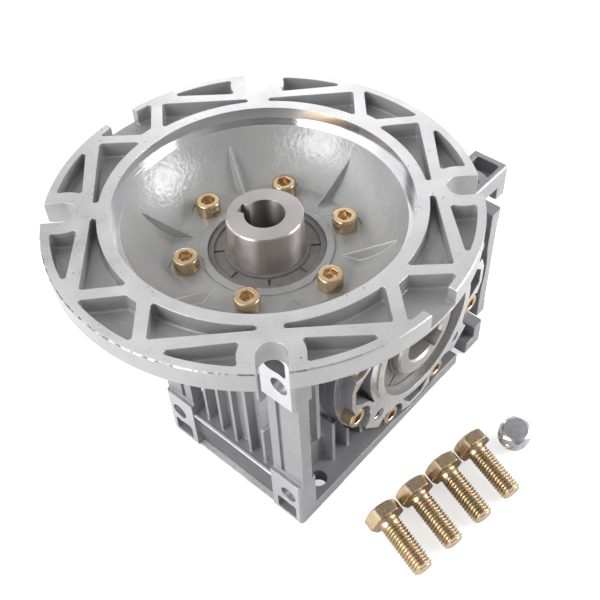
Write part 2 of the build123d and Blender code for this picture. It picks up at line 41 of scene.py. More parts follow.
# Places and sizes of the CAD solids that this script follows, in millimetres.
WORM_X = -50.0                                     # the upright worm axis
FOOT_X, BASE_X, REAR_Z = -84.0, 60.0, -60.0        # machined pads of the case
STAR_Y, STAR_R, SEAT_R = 43.5, 52.0, 32.0          # star faces and the seats inside them
FLANGE_TOP, FLANGE_R = 91.5, 82.5
PAD_SKIN, FACE_SKIN = 0.3, 0.2                     # closer to a machined face counts as on it
BEAM_LOW_X, BEAM_HIGH_X, BEAM_TOP = -80.3, -82.0, -35.0
FOOT_HOLES = [(y, z) for y in (-35, 35) for z in (-40, 40)]
BOLT_FLAT, BOLT_R, BOLT_LENGTH, BOLT_PITCH = 8.0, 5.0, 26.5, 1.5
BOLT_FIRST, BOLT_STEP, BOLT_TURN = (-60.4, -72.9), (18.75, -2.97), -105
PLUG_FLAT, PLUG_R, PLUG_REACH = 6.75, 5.0, 7.0
PLUG_SPOT, PLUG_TURN, PLUG_LEAN = (14.2, -91.5), -137.5, 9
FLANGE_SCREWS_R, FLANGE_SCREWS_Z, FLANGE_SCREW_LENGTH = 32.5, 66.8, 20.0
COVER_SCREWS_R, COVER_SCREWS_Y, COVER_SCREW_LENGTH = 48.0, -36.5, 16.0
TAPPED_CIRCLE, TAPPED_R, TAPPED_DEPTH = 42.5, 3.4, 11.5

# The same axes in metres, for the node coordinates.
WORM_LINE, HUB_LINE = (WORM_X * MM, 0, 0), (0, 0, 0)


class Nodes:
    """A node tree with short ways to add nodes; where holds its coordinates."""

    def __init__(self, tree, coordinates):
        self.tree = tree
        tree.nodes.clear()
        self.where = tree.nodes.new("ShaderNodeTexCoord").outputs[coordinates]

    def put(self, socket, value):
        if isinstance(value, bpy.types.NodeSocket):
            self.tree.links.new(value, socket)
        else:
            socket.default_value = value

    def node(self, kind, **inputs):
        n = self.tree.nodes.new(kind)
        for name, value in inputs.items():
            self.put(n.inputs[name.replace("_", " ")], value)
        return n

    def noise(self, scale, detail=3.0, rough=0.5, distort=0.0):
        """Scales are in waves per metre here and below."""
        return self.node("ShaderNodeTexNoise", Vector=self.where, Scale=scale, Detail=detail,
                         Roughness=rough, Distortion=distort).outputs["Fac"]

    def lines(self, along, scale, detail):
        """Noise along one number only, so it draws parallel or concentric lines."""
        n = self.tree.nodes.new("ShaderNodeTexNoise")
        n.noise_dimensions = "1D"
        for name, value in (("W", along), ("Scale", scale), ("Detail", detail)):
            self.put(n.inputs[name], value)
        return n.outputs["Fac"]

    def cells(self, scale):
        n = self.node("ShaderNodeTexVoronoi", Vector=self.where, Scale=scale)
        return n.outputs["Distance"]

    def maths(self, op, a, b):
        n = self.tree.nodes.new("ShaderNodeMath")
        n.operation = op
        self.put(n.inputs[0], a)
        self.put(n.inputs[1], b)
        return n.outputs[0]

    def vector(self, op, a, b=None):
        n = self.tree.nodes.new("ShaderNodeVectorMath")
        n.operation = op
        self.put(n.inputs[0], a)
        if b is not None:
            self.put(n.inputs[1], b)
        return n.outputs["Value" if op in ("LENGTH", "DOT_PRODUCT") else "Vector"]

    def fit(self, value, lo, hi, out_lo=0.0, out_hi=1.0, smooth=False):
        """Maps lo..hi to out_lo..out_hi and holds the ends."""
        n = self.tree.nodes.new("ShaderNodeMapRange")
        if smooth:
            n.interpolation_type = "SMOOTHSTEP"
        for socket, v in zip(n.inputs[:5], (value, lo, hi, out_lo, out_hi)):
            self.put(socket, v)
        return n.outputs[0]

    def ramp(self, value, stops):
        n = self.tree.nodes.new("ShaderNodeValToRGB")
        n.color_ramp.elements.remove(n.color_ramp.elements[1])
        for i, (at, colour) in enumerate(stops):
            e = n.color_ramp.elements[0] if i == 0 else n.color_ramp.elements.new(at)
            e.position = at
            e.color = (*colour, 1)
        self.put(n.inputs[0], value)
        return n.outputs[0]

    def mix(self, factor, a, b, blend="MIX"):
        n = self.tree.nodes.new("ShaderNodeMix")
        n.data_type = "RGBA"
        n.blend_type = blend
        self.put(n.inputs[0], factor)
        self.put(n.inputs[6], a if isinstance(a, bpy.types.NodeSocket) else (*a, 1))
        self.put(n.inputs[7], b if isinstance(b, bpy.types.NodeSocket) else (*b, 1))
        return n.outputs[2]

    def axis(self, name, offset=(0, 0, 0)):
        """X, Y or Z in metres, or with ry or rz the distance from that axis through offset."""
        moved = self.vector("SUBTRACT", self.where, offset)
        if name in "XYZ":
            return self.node("ShaderNodeSeparateXYZ", Vector=moved).outputs[name]
        across = {"rz": (1, 1, 0), "ry": (1, 0, 1)}[name]
        return self.vector("LENGTH", self.vector("MULTIPLY", moved, across))

    def bump(self, height, distance, strength, normal):
        return self.node("ShaderNodeBump", Height=height, Distance=distance, Strength=strength,
                         Normal=normal).outputs[0]

    def normal(self):
        return self.tree.nodes.new("ShaderNodeNewGeometry").outputs["Normal"]

    def rounded(self, radius):
        n = self.node("ShaderNodeBevel", Radius=radius)
        n.samples = 4
        return n.outputs[0]

    def edges(self, radius):
        """1 near convex or concave edges, 0 on flat ground."""
        turned = self.vector("DOT_PRODUCT", self.rounded(radius), self.normal())
        return self.fit(turned, 0.98, 0.84)


class Graph(Nodes):
    """A material that ends in a Principled shader."""

    def __init__(self, name):
        self.mat = bpy.data.materials.new(name)
        self.mat.use_nodes = True
        super().__init__(self.mat.node_tree, "Object")
        self.shader = self.tree.nodes.new("ShaderNodeBsdfPrincipled")
        self.surface = self.tree.nodes.new("ShaderNodeOutputMaterial").inputs[0]
        self.put(self.surface, self.shader.outputs[0])

    def set(self, **values):
        for name, value in values.items():
            self.put(self.shader.inputs[name.replace("_", " ")], value)


def cast(name, low, high, rough, coat, gloss, peel=1.0, round_r=0.6):
    """Painted aluminium casting: glossy orange peel, fine grain, blotches, and edges lightened
    as rubbed paint and a painted highlight.
    """
    g = Graph(name)
    blotch = g.noise(45, 3)
    grain = g.noise(1900, 2, 0.7)
    colour = g.ramp(g.fit(blotch, 0.3, 0.7), [(0.0, low), (1.0, high)])
    colour = g.mix(g.fit(grain, 0.66, 0.8, 0.0, 0.25), colour, (0.7, 0.7, 0.7))
    # Edges lightened in broken patches: partly rubbed paint, partly a painted highlight.
    edge = g.maths("MULTIPLY", g.edges(0.5 * MM), g.fit(g.noise(420, 3), 0.3, 0.6, 0.25, 0.9))
    colour = g.mix(edge, colour, (0.80, 0.80, 0.81))
    orange = g.noise(560, 2, 0.5)
    swell = g.noise(130, 1)
    height = g.maths("ADD", g.maths("ADD", orange, g.maths("MULTIPLY", grain, 0.12)),
                     g.maths("MULTIPLY", swell, 0.8))
    skin = g.bump(height, 0.17 * MM * peel, 0.8, g.rounded(round_r * MM))
    g.set(Base_Color=colour, Metallic=0.25, Normal=skin, Coat_Normal=skin, Coat_Weight=coat,
          Coat_Roughness=gloss, Coat_IOR=1.55,
          Roughness=g.fit(g.noise(300, 3), 0.3, 0.7, rough - 0.06, rough + 0.08))
    return g.mat


def machined(name, base, axis, offset, line, rough, depth, grit=0.5):
    """Turned or milled aluminium: fine tool lines round an axis, grain and small pits."""
    g = Graph(name)
    way = g.axis(axis, offset)
    tool = g.maths("ADD", g.lines(way, line, 5), g.maths("MULTIPLY", g.lines(way, 420, 3), 0.8))
    grain = g.noise(1250, 3, 0.7)
    tint = g.mix(g.fit(g.noise(60, 2), 0.35, 0.7), base, tuple(0.9 * c for c in base))
    tint = g.mix(g.fit(grain, 0.42, 0.66, 0, 0.42 * grit), tint, (0.52, 0.51, 0.52))
    pit = g.maths("MULTIPLY", g.fit(g.cells(330), 0.17, 0.10), g.fit(g.noise(170, 1), 0.52, 0.6))
    tint = g.mix(g.maths("MULTIPLY", pit, 1.1 * grit), tint, (0.22, 0.21, 0.21))
    height = g.maths("ADD", tool, g.maths("MULTIPLY", grain, 1.2 * grit))
    g.set(Base_Color=tint, Metallic=1.0,
          Roughness=g.fit(g.noise(90, 2), 0.3, 0.7, rough - 0.03, rough + 0.08),
          Normal=g.bump(height, depth * MM, 0.8, g.rounded(0.25 * MM)))
    return g.mat


def burr(name):
    """Rim edge left by the turning tool: a dark line broken into short dashes."""
    g = Graph(name)
    dash = g.fit(g.noise(330, 3, 0.6), 0.46, 0.6)
    front = g.fit(g.axis("X"), -0.06, -0.125)
    dark = g.maths("MULTIPLY", dash, g.maths("MAXIMUM", front, 0.15))
    g.set(Base_Color=g.mix(dark, (0.50, 0.49, 0.48), (0.10, 0.085, 0.075)),
          Metallic=0.7, Roughness=0.4, Normal=g.bump(dash, 0.05 * MM, 0.8, g.normal()))
    return g.mat


def steel(name, base, axis, offset, line, rough, depth, aniso=0.0, stain=0.0, spin=None):
    """Ground or turned steel with circular marks, nicks and light stains. spin is the turning
    axis of an anisotropic finish, whose gloss spreads across its grooves."""
    g = Graph(name)
    tool = g.lines(g.axis(axis, offset), line, 6)
    if spin:
        around = g.vector("CROSS_PRODUCT", spin, g.vector("SUBTRACT", g.where, offset))
        g.set(Tangent=g.vector("NORMALIZE", g.vector("CROSS_PRODUCT", g.normal(), around)))
    nick = g.noise(700, 4, 0.6, distort=1.5)
    tint = g.mix(g.fit(g.noise(70, 4), 0.4, 0.75, 0, 0.25 + stain), base,
                 (base[0] * 0.72, base[1] * 0.66, base[2] * 0.6))
    height = g.maths("ADD", tool, g.fit(nick, 0.68, 0.74, 0.0, -1.2))
    g.set(Base_Color=tint, Metallic=1.0, Anisotropic=aniso,
          Roughness=g.fit(g.noise(160, 3), 0.3, 0.7, rough, rough + 0.1),
          Normal=g.bump(height, depth * MM, 0.8, g.rounded(0.3 * MM)))
    return g.mat


def zinc(name, stops, rough, grit, dark, edge=(0.80, 0.74, 0.62), drift=110, fine=2600,
         uneven=0.12):
    """Plated fastener: passivated colours that drift over the surface, grainy plating, and a
    painted highlight along the edges.
    """
    g = Graph(name)
    colour = g.ramp(g.fit(g.noise(drift, 2, 0.5), 0.24, 0.80), stops)
    grain = g.noise(fine, 3, 0.7)
    colour = g.mix(g.fit(grain, 0.55, 0.75, 0, 0.22), colour, dark)
    # Painted highlight: edges mixed toward the pale edge colour.
    colour = g.mix(g.edges(0.3 * MM), colour, edge)
    g.set(Base_Color=colour, Metallic=1.0,
          Roughness=g.fit(g.noise(500, 4), 0.3, 0.75, rough, rough + uneven),
          Normal=g.bump(grain, 0.02 * MM, grit, g.rounded(0.22 * MM)))
    return g.mat


def rubber(name, low, high, rough, gloss=0.35):
    """Dusty rubber with a fine moulded grain."""
    g = Graph(name)
    dust = g.noise(260, 5, 0.65)
    colour = g.ramp(g.fit(dust, 0.35, 0.72), [(0.0, low), (1.0, high)])
    colour = g.mix(g.fit(g.noise(1500, 3), 0.62, 0.76, 0, 0.3), colour, (0.24, 0.22, 0.21))
    g.set(Base_Color=colour, Roughness=g.fit(dust, 0.3, 0.7, rough - 0.1, rough + 0.12),
          Specular_IOR_Level=gloss,
          Normal=g.bump(g.noise(1300, 3), 0.04 * MM, 0.6, g.rounded(0.3 * MM)))
    return g.mat


CASE = cast("case_paint", (0.29, 0.29, 0.305), (0.36, 0.36, 0.375),
            rough=0.42, coat=0.75, gloss=0.14, peel=0.8)
# Painted shade: a near-black copy of the case paint on the beam's web, dark like a recessed
# channel in shade.
WEB_SHADE = cast("beam_web_painted_shade", (0.11, 0.11, 0.115), (0.15, 0.15, 0.155),
           rough=0.5, coat=0.25, gloss=0.25, peel=0.8)
# Painted highlight: a much paler copy of the case paint on the beam's lips, standing in for
# light on their rounded edges.
LIP_HIGHLIGHT = cast("beam_lip_painted_highlight", (0.62, 0.62, 0.63), (0.80, 0.80, 0.81),
           rough=0.3, coat=0.8, gloss=0.1, peel=1.2, round_r=0.3)
COVER = cast("cover_paint", (0.26, 0.26, 0.27), (0.33, 0.33, 0.34),
             rough=0.45, coat=0.6, gloss=0.18)
BOWL = cast("flange_paint", (0.35, 0.35, 0.35), (0.41, 0.41, 0.41),
            rough=0.44, coat=0.85, gloss=0.17, peel=1.5, round_r=0.7)

ALU = (0.84, 0.84, 0.85)
FACE_Y = machined("machined_star_face", ALU, "ry", HUB_LINE, line=1900, rough=0.27, depth=0.02)
FACE_Z = machined("machined_flange_face", ALU, "rz", WORM_LINE,
                  line=1700, rough=0.27, depth=0.015)
STEP = machined("turned_register", ALU, "rz", WORM_LINE,
                line=1500, rough=0.13, depth=0.006, grit=0.12)
PAD_X = machined("milled_side_pads", ALU, "Z", HUB_LINE, line=2100, rough=0.3, depth=0.02)
PAD_BASE = machined("milled_base_pads", (0.62, 0.62, 0.63), "Z", HUB_LINE,
                    line=2100, rough=0.34, depth=0.02)
PAD_Z = machined("milled_top_pads", (0.82, 0.82, 0.83), "X", HUB_LINE,
                 line=2100, rough=0.3, depth=0.02)
TAPPED = machined("tapped_aluminium", (0.66, 0.66, 0.67), "Y", HUB_LINE,
                  line=2100, rough=0.34, depth=0.01)

ROUND_Y, ROUND_Z = (0, 1, 0), (0, 0, 1)
WORM = steel("turned_worm_steel", (0.66, 0.62, 0.60), "Z", WORM_LINE, line=1500, rough=0.31,
             depth=0.008, aniso=0.92, stain=0.05, spin=ROUND_Z)
COLLAR_TOP = steel("faced_worm_steel", (0.52, 0.49, 0.49), "rz", WORM_LINE, line=1800,
                   rough=0.30, depth=0.01, aniso=0.5, stain=0.15, spin=ROUND_Z)
BORE = steel("reamed_bore_steel", (0.44, 0.42, 0.41), "Z", WORM_LINE, line=900, rough=0.42,
             depth=0.008, aniso=0.85, stain=0.1, spin=ROUND_Z)
OUTPUT = steel("turned_output_steel", (0.58, 0.57, 0.56), "ry", HUB_LINE, line=1600,
               rough=0.26, depth=0.012, aniso=0.4, stain=0.1, spin=ROUND_Y)
OUT_BORE = steel("reamed_output_bore", (0.60, 0.59, 0.58), "ry", HUB_LINE, line=900,
                 rough=0.42, depth=0.01, aniso=0.4, stain=0.1, spin=ROUND_Y)
BEARING = steel("ground_bearing_steel", (0.62, 0.62, 0.63), "rz", WORM_LINE,
                line=4000, rough=0.1, depth=0.008)
BRONZE = steel("hobbed_wheel_bronze", (0.60, 0.38, 0.16), "ry", HUB_LINE,
               line=2200, rough=0.28, depth=0.02)

BURR = burr("rim_burr")
SEAL = rubber("seal_rubber", (0.170, 0.158, 0.150), (0.245, 0.228, 0.216), rough=0.42, gloss=0.5)
RING = rubber("ring_rubber", (0.012, 0.012, 0.012), (0.03, 0.03, 0.03), rough=0.4)

GOLD = [(0.0, (0.46, 0.40, 0.20)), (0.25, (0.58, 0.47, 0.27)), (0.45, (0.64, 0.50, 0.32)),
        (0.6, (0.66, 0.46, 0.33)), (0.78, (0.58, 0.52, 0.30)), (1.0, (0.74, 0.68, 0.52))]
PALE_GOLD = [(0.0, (0.60, 0.45, 0.27)), (0.5, (0.70, 0.53, 0.34)), (1.0, (0.76, 0.62, 0.44))]
SILVER = [(0.0, (0.56, 0.56, 0.58)), (1.0, (0.76, 0.76, 0.78))]
# Each zinc's edge colour is a painted highlight along its edges.
YELLOW = zinc("yellow_zinc", GOLD, rough=0.21, grit=0.28, dark=(0.30, 0.20, 0.10),
              edge=(0.92, 0.86, 0.72), drift=150, fine=4800)
HEADS = zinc("cap_screw_zinc", PALE_GOLD, rough=0.19, grit=0.15, dark=(0.50, 0.38, 0.24),
             edge=(0.86, 0.80, 0.68), drift=60, fine=4200, uneven=0.03)
WHITE = zinc("white_zinc", SILVER, rough=0.24, grit=1.0, dark=(0.16, 0.16, 0.18))


def paint(name, first, *rules):
    """First material everywhere, others where a test on centre (mm) and normal is true."""
    mesh = nodes[name].data
    mesh.materials.clear()
    mesh.materials.append(first)
    for material, _ in rules:
        mesh.materials.append(material)
    for p in mesh.polygons:
        c, n = p.center / MM, p.normal
        p.material_index = 0
        for i, (_, test) in enumerate(rules, 1):
            if test(c, n):
                p.material_index = i
                break


def off(c, x, y, z):
    """Distance from an axis: the coordinate given as None is the axis' direction."""
    return math.sqrt(sum((a - b) ** 2 for a, b in zip(c, (x, y, z)) if b is not None))


def from_worm(c):
    return off(c, WORM_X, 0, None)


def from_hub(c):
    return off(c, 0, None, 0)


# Tests for paint(), on a polygon's centre and normal.
# Faces of the beam's web, which take the painted shade.
def beam_web(c, n):
    return (n.x < -0.99 and BEAM_HIGH_X - 0.1 < c.x < BEAM_LOW_X + 0.1
            and abs(c.y) < 20 and c.z < BEAM_TOP - 4)


def case_star(c, n):
    return ((c.y > STAR_Y - FACE_SKIN and from_hub(c) < STAR_R)
            or (abs(c.y) > 31 and from_hub(c) < SEAT_R))


def foot_hole(c, n):
    return c.x < FOOT_X + 10 and min(off(c, None, y, z) for y, z in FOOT_HOLES) < 4.4


def cover_star(c, n):
    return c.y < FACE_SKIN - STAR_Y or (from_hub(c) < SEAT_R and c.y < -18)


def rim_edge(c, n):
    return c.z > FLANGE_TOP - 0.45 and 0.3 < n.z < 0.95 and from_worm(c) > FLANGE_R - 0.5


def register(c, n):
    return c.z > 84.6 and 54.5 < from_worm(c) < 57.6


def collar_bore(c, n):
    return from_worm(c) < 10.5 and 31 < c.z < 83.9 and abs(n.z) < 0.5


paint("gear_case", CASE,
      (WEB_SHADE, beam_web),
      (PAD_X, lambda c, n: n.x < -0.99 and c.x < FOOT_X + PAD_SKIN),
      (PAD_BASE, lambda c, n: n.x > 0.99 and c.x > BASE_X - PAD_SKIN),
      (PAD_Z, lambda c, n: n.z < -0.99 and c.z < REAR_Z + PAD_SKIN),
      (FACE_Y, case_star),
      (PAD_X, foot_hole))
paint("output_cover", COVER, (FACE_Y, cover_star))
paint("input_flange", BOWL,
      (BURR, rim_edge),
      (FACE_Z, lambda c, n: c.z > FLANGE_TOP - FACE_SKIN),
      (STEP, register))
paint("worm_shaft", WORM,
      (COLLAR_TOP, lambda c, n: abs(n.z) > 0.9),
      (BORE, collar_bore))
paint("output_shaft", OUTPUT,
      (OUT_BORE, lambda c, n: from_hub(c) < 16 and abs(n.y) < 0.5))
for name, material in (
        ("rear_cap", RING), ("input_seal", SEAL), ("output_seal_front", SEAL),
        ("output_seal_rear", SEAL), ("cover_o_ring", RING), ("worm_wheel_rim", BRONZE),
        ("worm_top_circlip", BEARING), ("flange_screws", YELLOW), ("cover_screws", YELLOW),
        ("filler_plug", WHITE), ("mounting_bolts", YELLOW), ("vent_plug", WHITE),
        ("vent_washer", RING)):
    paint(name, material)
for bearing in ("worm_top", "worm_low", "output_front", "output_rear"):
    for piece in ("outer", "inner", "balls"):
        paint(f"{bearing}_bearing_{piece}", BEARING)


def new_piece(name, verts, faces, material, stands_for, finish, place=None):
    """A made object on the fixed body; place is a matrix for vertices not yet in place."""
    mesh = bpy.data.meshes.new(name)
    mesh.from_pydata(verts, [], faces)
    if place:
        mesh.transform(place)
    work = bmesh.new()
    work.from_mesh(mesh)
    bmesh.ops.remove_doubles(work, verts=work.verts, dist=0.002 * MM)
    bmesh.ops.recalc_face_normals(work, faces=work.faces)
    work.to_mesh(mesh)
    work.free()
    mesh.materials.append(material)
    for p in mesh.polygons:
        p.use_smooth = True
    mesh.validate()
    mesh.set_sharp_from_angle(angle=math.radians(35))
    obj = bpy.data.objects.new(name, mesh)
    bpy.context.scene.collection.objects.link(obj)
    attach(obj, "housing")
    if stands_for:
        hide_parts(stands_for)


def rings_to_mesh(rings, verts, faces, close_first=True, close_last=True):
    """Adds the skin over a list of vertex rings that all have the same number of corners."""
    n = len(rings[0])
    base = len(verts)
    for ring in rings:
        verts.extend(ring)
    for i in range(len(rings) - 1):
        a, b = base + i * n, base + (i + 1) * n
        for j in range(n):
            k = (j + 1) % n
            faces.append((a + j, a + k, b + k, b + j))
    if close_first:
        faces.append(tuple(reversed(range(base, base + n))))
    if close_last:
        faces.append(tuple(range(base + (len(rings) - 1) * n, base + len(rings) * n)))


def hex_r(angle, flat, corner=0.985):
    """Radius of a hexagon with slightly broken corners."""
    a = (angle + 30) % 60 - 30
    return min(flat / math.cos(math.radians(a)), flat / math.cos(math.radians(30)) * corner)


def circle(x, radius, n=72):
    """Ring of points round +X; x and radius are numbers or functions of the angle."""
    out = []
    for j in range(n):
        a = 360 * j / n
        r = radius(a) if callable(radius) else radius
        px = x(a) if callable(x) else x
        out.append((px * MM, r * math.cos(math.radians(a)) * MM,
                    r * math.sin(math.radians(a)) * MM))
    return out


def thread(verts, faces, r, depth, pitch, x0, x1, r0, r1, n=60, inward=1):
    """Helical 60 degree thread along +X as a sheared grid that meets the ring of radius
    r0 at x0 and the ring of radius r1 at x1; inward -1 makes the crests point to the axis."""
    profile = ((0.0, 1.0), (0.11, 1.0), (0.33, 0.45), (0.54, 0.04), (0.64, 0.0), (0.74, 0.08),
               (0.9, 0.6))        # part of a pitch, height as part of the depth
    m = len(profile)
    rows = (int((x1 - x0) / pitch) + 3) * m
    base = len(verts)
    for j in range(n):
        a = 2 * math.pi * j / n
        for i in range(rows):
            t, h = profile[i % m]
            x = x0 + (i // m - 1 + t + j / n) * pitch
            rr = r - inward * depth * (1 - h)
            fade = min(max((x - x0) / pitch, 0), 1)
            rr = r0 + (rr - r0) * fade
            end = r1 + inward * max(x1 - x, 0) * 1.1
            rr = min(rr, end) if inward > 0 else max(rr, end)
            x = min(max(x, x0), x1)
            verts.append((x * MM, rr * math.cos(a) * MM, rr * math.sin(a) * MM))
    for j in range(n):
        shift = m if j == n - 1 else 0
        k = (j + 1) % n
        for i in range(rows - 1 - shift):
            faces.append((base + j * rows + i, base + k * rows + i + shift,
                          base + k * rows + i + 1 + shift, base + j * rows + i + 1))


def hex_bolt():
    """Hex bolt along +X: crowned head, fillet, smooth neck, rolled thread, point."""
    verts, faces = [], []
    low, crown, neck, neck_r, point_r, n = -6.4, 7.3, 2.4, 4.7, 3.95, 60
    six = lambda a: hex_r(a + 30, BOLT_FLAT)
    rim = lambda a: low + 0.05 + (max(crown, six(a)) - crown) * 0.6
    rings_to_mesh([circle(low, 6.2, n), circle(low + 0.03, crown - 0.2, n),
                   circle(rim, lambda a: max(crown, six(a)), n), circle(-0.3, six, n),
                   circle(-0.04, lambda a: six(a) - 0.26, n), circle(0, 7.2, n),
                   circle(0.0, 6.0, n), circle(0.12, 5.45, n), circle(0.5, 5.05, n),
                   circle(1.1, 4.8, n), circle(neck, neck_r, n)], verts, faces, True, False)
    thread(verts, faces, BOLT_R, 0.92, BOLT_PITCH, neck, BOLT_LENGTH, neck_r, point_r, n)
    rings_to_mesh([circle(BOLT_LENGTH, point_r, n), circle(BOLT_LENGTH - 0.08, 3.4, n),
                   circle(BOLT_LENGTH - 0.1, 0.4, n)], verts, faces, False, True)
    return verts, faces


def cap_head(length):
    """Socket head screw with its head toward +X: rounded rim, hexagon socket, thread."""
    verts, faces = [], []
    r_head, h, r, pitch, neck, n = 5.0, 6.0, 2.97, 1.0, 2.6, 30
    sock = lambda a: hex_r(a, 2.5, 1.0)
    rings_to_mesh([circle(h - 3.3, 0.05), circle(h - 2.9, lambda a: sock(a) * 0.98),
                   circle(h - 0.25, sock), circle(h - 0.02, lambda a: sock(a) + 0.22),
                   circle(h, lambda a: sock(a) + 0.4), circle(h, lambda a: sock(a) + 0.6),
                   circle(h, r_head - 0.9), circle(h, r_head - 0.75),
                   circle(h - 0.08, r_head - 0.42), circle(h - 0.3, r_head - 0.14),
                   circle(h - 0.7, r_head), circle(h - 0.85, r_head), circle(0.45, r_head),
                   circle(0.25, r_head), circle(0.0, r_head - 0.2),
                   circle(0.0, r + 0.35), circle(-0.3, r), circle(-3.0, r - 0.05)],
                  verts, faces, True, True)
    t_verts, t_faces = [], []
    thread(t_verts, t_faces, r, 0.55, pitch, neck, length, r - 0.3, r - 0.6, n)
    for x, rr in ((neck, r - 0.3), (length, r - 0.6)):
        rings_to_mesh([circle(x, rr, n), circle(x, 0.3, n)], t_verts, t_faces, False, True)
    shift = len(verts)
    verts.extend((-x, y, z) for x, y, z in t_verts)
    faces.extend(tuple(reversed([shift + i for i in f])) for f in t_faces)
    return verts, faces


def tap_thread():
    """Sleeve with an inside thread, for a tapped hole opening at x 0."""
    verts, faces = [], []
    first, root, skin, n = 0.5, TAPPED_R - 0.04, TAPPED_R - 0.01, 40
    thread(verts, faces, 3.04, 0.32, 1.25, first, TAPPED_DEPTH, root, root, n, -1)
    for x in (first, TAPPED_DEPTH):
        rings_to_mesh([circle(x, root, n), circle(x, skin, n)], verts, faces, False, False)
    rings_to_mesh([circle(first, skin, n), circle(TAPPED_DEPTH, skin, n)],
                  verts, faces, False, False)
    return verts, faces


def breather():
    """Plug along +X: flat ground top, chamfered hexagon, round flange, thread."""
    verts, faces = [], []
    crown, start, n = PLUG_FLAT - 0.85, -1.3, 72
    neck_r, end_r = PLUG_R - 0.3, PLUG_R - 0.8
    six = lambda a: hex_r(a, PLUG_FLAT)
    rim = lambda a: 7.5 - (max(crown, six(a)) - crown) * 0.85
    rings_to_mesh([circle(7.6, crown - 0.25), circle(7.55, crown),
                   circle(rim, lambda a: max(crown, six(a))), circle(2.5, six),
                   circle(2.1, lambda a: six(a) + 0.05),
                   circle(1.85, lambda a: max(six(a) + 0.05, 7.2)),
                   circle(1.5, 7.55), circle(1.2, 7.68), circle(0.4, 7.68), circle(0.12, 7.5),
                   circle(0, 7.1), circle(0, PLUG_R), circle(start, neck_r)],
                  verts, faces, True, False)
    thread(verts, faces, PLUG_R - 0.02, 0.6, 1.0, -PLUG_REACH, start, end_r, neck_r, n)
    rings_to_mesh([circle(-PLUG_REACH, end_r), circle(-PLUG_REACH, 0.4)],
                  verts, faces, False, True)
    return verts, faces


def washer():
    """Washer round +X under the plug's flange."""
    verts, faces = [], []
    rings_to_mesh([circle(x, r) for x, r in (
        (-0.05, 5.15), (-0.05, 7.2), (-0.25, 7.48), (-0.95, 7.48), (-1.15, 7.2),
        (-1.15, 5.15), (-0.6, 5.02), (-0.05, 5.15))], verts, faces, False, False)
    return verts, faces


def beam_lips():
    """Two rounded bars along Y, one on each of the beam's two faces."""
    verts, faces = [], []
    crest_x, round_x, half = -83.4, -83.1, 25.2
    for face, low, high in ((BEAM_LOW_X, REAR_Z, REAR_Z + 1.3),
                            (BEAM_HIGH_X, BEAM_TOP - 1.3, BEAM_TOP)):
        section = [(face + 0.3, low), (round_x, low), (crest_x, low + 0.3),
                   (crest_x, high - 0.3), (round_x, high), (face + 0.3, high)]
        rings_to_mesh([[(x * MM, y * MM, z * MM) for x, z in section] for y in (-half, half)],
                      verts, faces)
    return verts, faces


def joined(name, made, places, material, stands_for, finish):
    """One object that holds the same mesh at several places."""
    verts, faces = [], []
    for place in places:
        shift = len(verts)
        verts.extend(tuple(place @ Vector(v)) for v in made[0])
        faces.extend(tuple(shift + i for i in f) for f in made[1])
    new_piece(name, verts, faces, material, stands_for, finish)


def at(x, y, z):
    """Move by millimetres, as a matrix in metres."""
    return Matrix.Translation(Vector((x, y, z)) * MM)


def spin(axis, degrees):
    return Matrix.Rotation(math.radians(degrees), 4, axis)


def polar(radius, degrees):
    a = math.radians(degrees)
    return radius * math.cos(a), radius * math.sin(a)


to_z = spin("Y", -90)           # turns a piece made along +X to +Z

# Four hex bolts that lie on their heads and thread ends, at the places of their CAD solids.
lay_tilt = math.degrees(math.atan((BOLT_FLAT - BOLT_R) / BOLT_LENGTH))
lay_z = REAR_Z + BOLT_FLAT * math.cos(math.radians(lay_tilt))
places = [at(BOLT_FIRST[0] + BOLT_STEP[0] * k, BOLT_FIRST[1] + BOLT_STEP[1] * k, lay_z)
          @ spin("Z", BOLT_TURN) @ spin("Y", lay_tilt) for k in range(4)]
joined("threaded_bolts", hex_bolt(), places, YELLOW, "mounting_bolts", "yellow_zinc")

# Cap screws of the flange, round the worm axis, and of the cover, round the hub axis.
places = []
for turn in range(30, 360, 60):
    x, y = polar(FLANGE_SCREWS_R, turn)
    places.append(at(WORM_X + x, y, FLANGE_SCREWS_Z) @ spin("Z", turn) @ to_z)
joined("flange_cap_screws", cap_head(FLANGE_SCREW_LENGTH), places, HEADS, "flange_screws",
       "yellow_zinc")
places = []
for k in range(8):
    x, z = polar(COVER_SCREWS_R, 22.5 + 45 * k)
    places.append(at(x, COVER_SCREWS_Y, z) @ spin("X", 90) @ to_z)
joined("cover_cap_screws", cap_head(COVER_SCREW_LENGTH), places, HEADS, "cover_screws",
       "yellow_zinc")

# Breather plug and its washer, leaning on the thread end like the CAD solids.
lean = math.radians(PLUG_LEAN)
plug_place = (at(*PLUG_SPOT, REAR_Z + PLUG_REACH * math.cos(lean) + PLUG_R * math.sin(lean))
              @ spin("Z", PLUG_TURN) @ spin("Y", PLUG_LEAN) @ to_z)
new_piece("breather_plug", *breather(), WHITE, "vent_plug", "white_zinc", plug_place)
new_piece("plug_washer", *washer(), WHITE, "vent_washer", "white_zinc", plug_place)

# Lips that make the beam between the worm-side feet a channel, as in the photograph; their pale
# paint is a painted highlight, and the dark web between them is painted shade.
new_piece("beam_lips", *beam_lips(), LIP_HIGHLIGHT, None, "cast_case")

# Threads in the tapped holes of both star faces.
places = []
for side in (-1, 1):
    for turn in range(45, 360, 90):
        x, z = polar(TAPPED_CIRCLE, turn)
        places.append(at(x, side * STAR_Y, z) @ spin("Z", -90 * side))
joined("star_tap_threads", tap_thread(), places, TAPPED, None, "cast_cover")

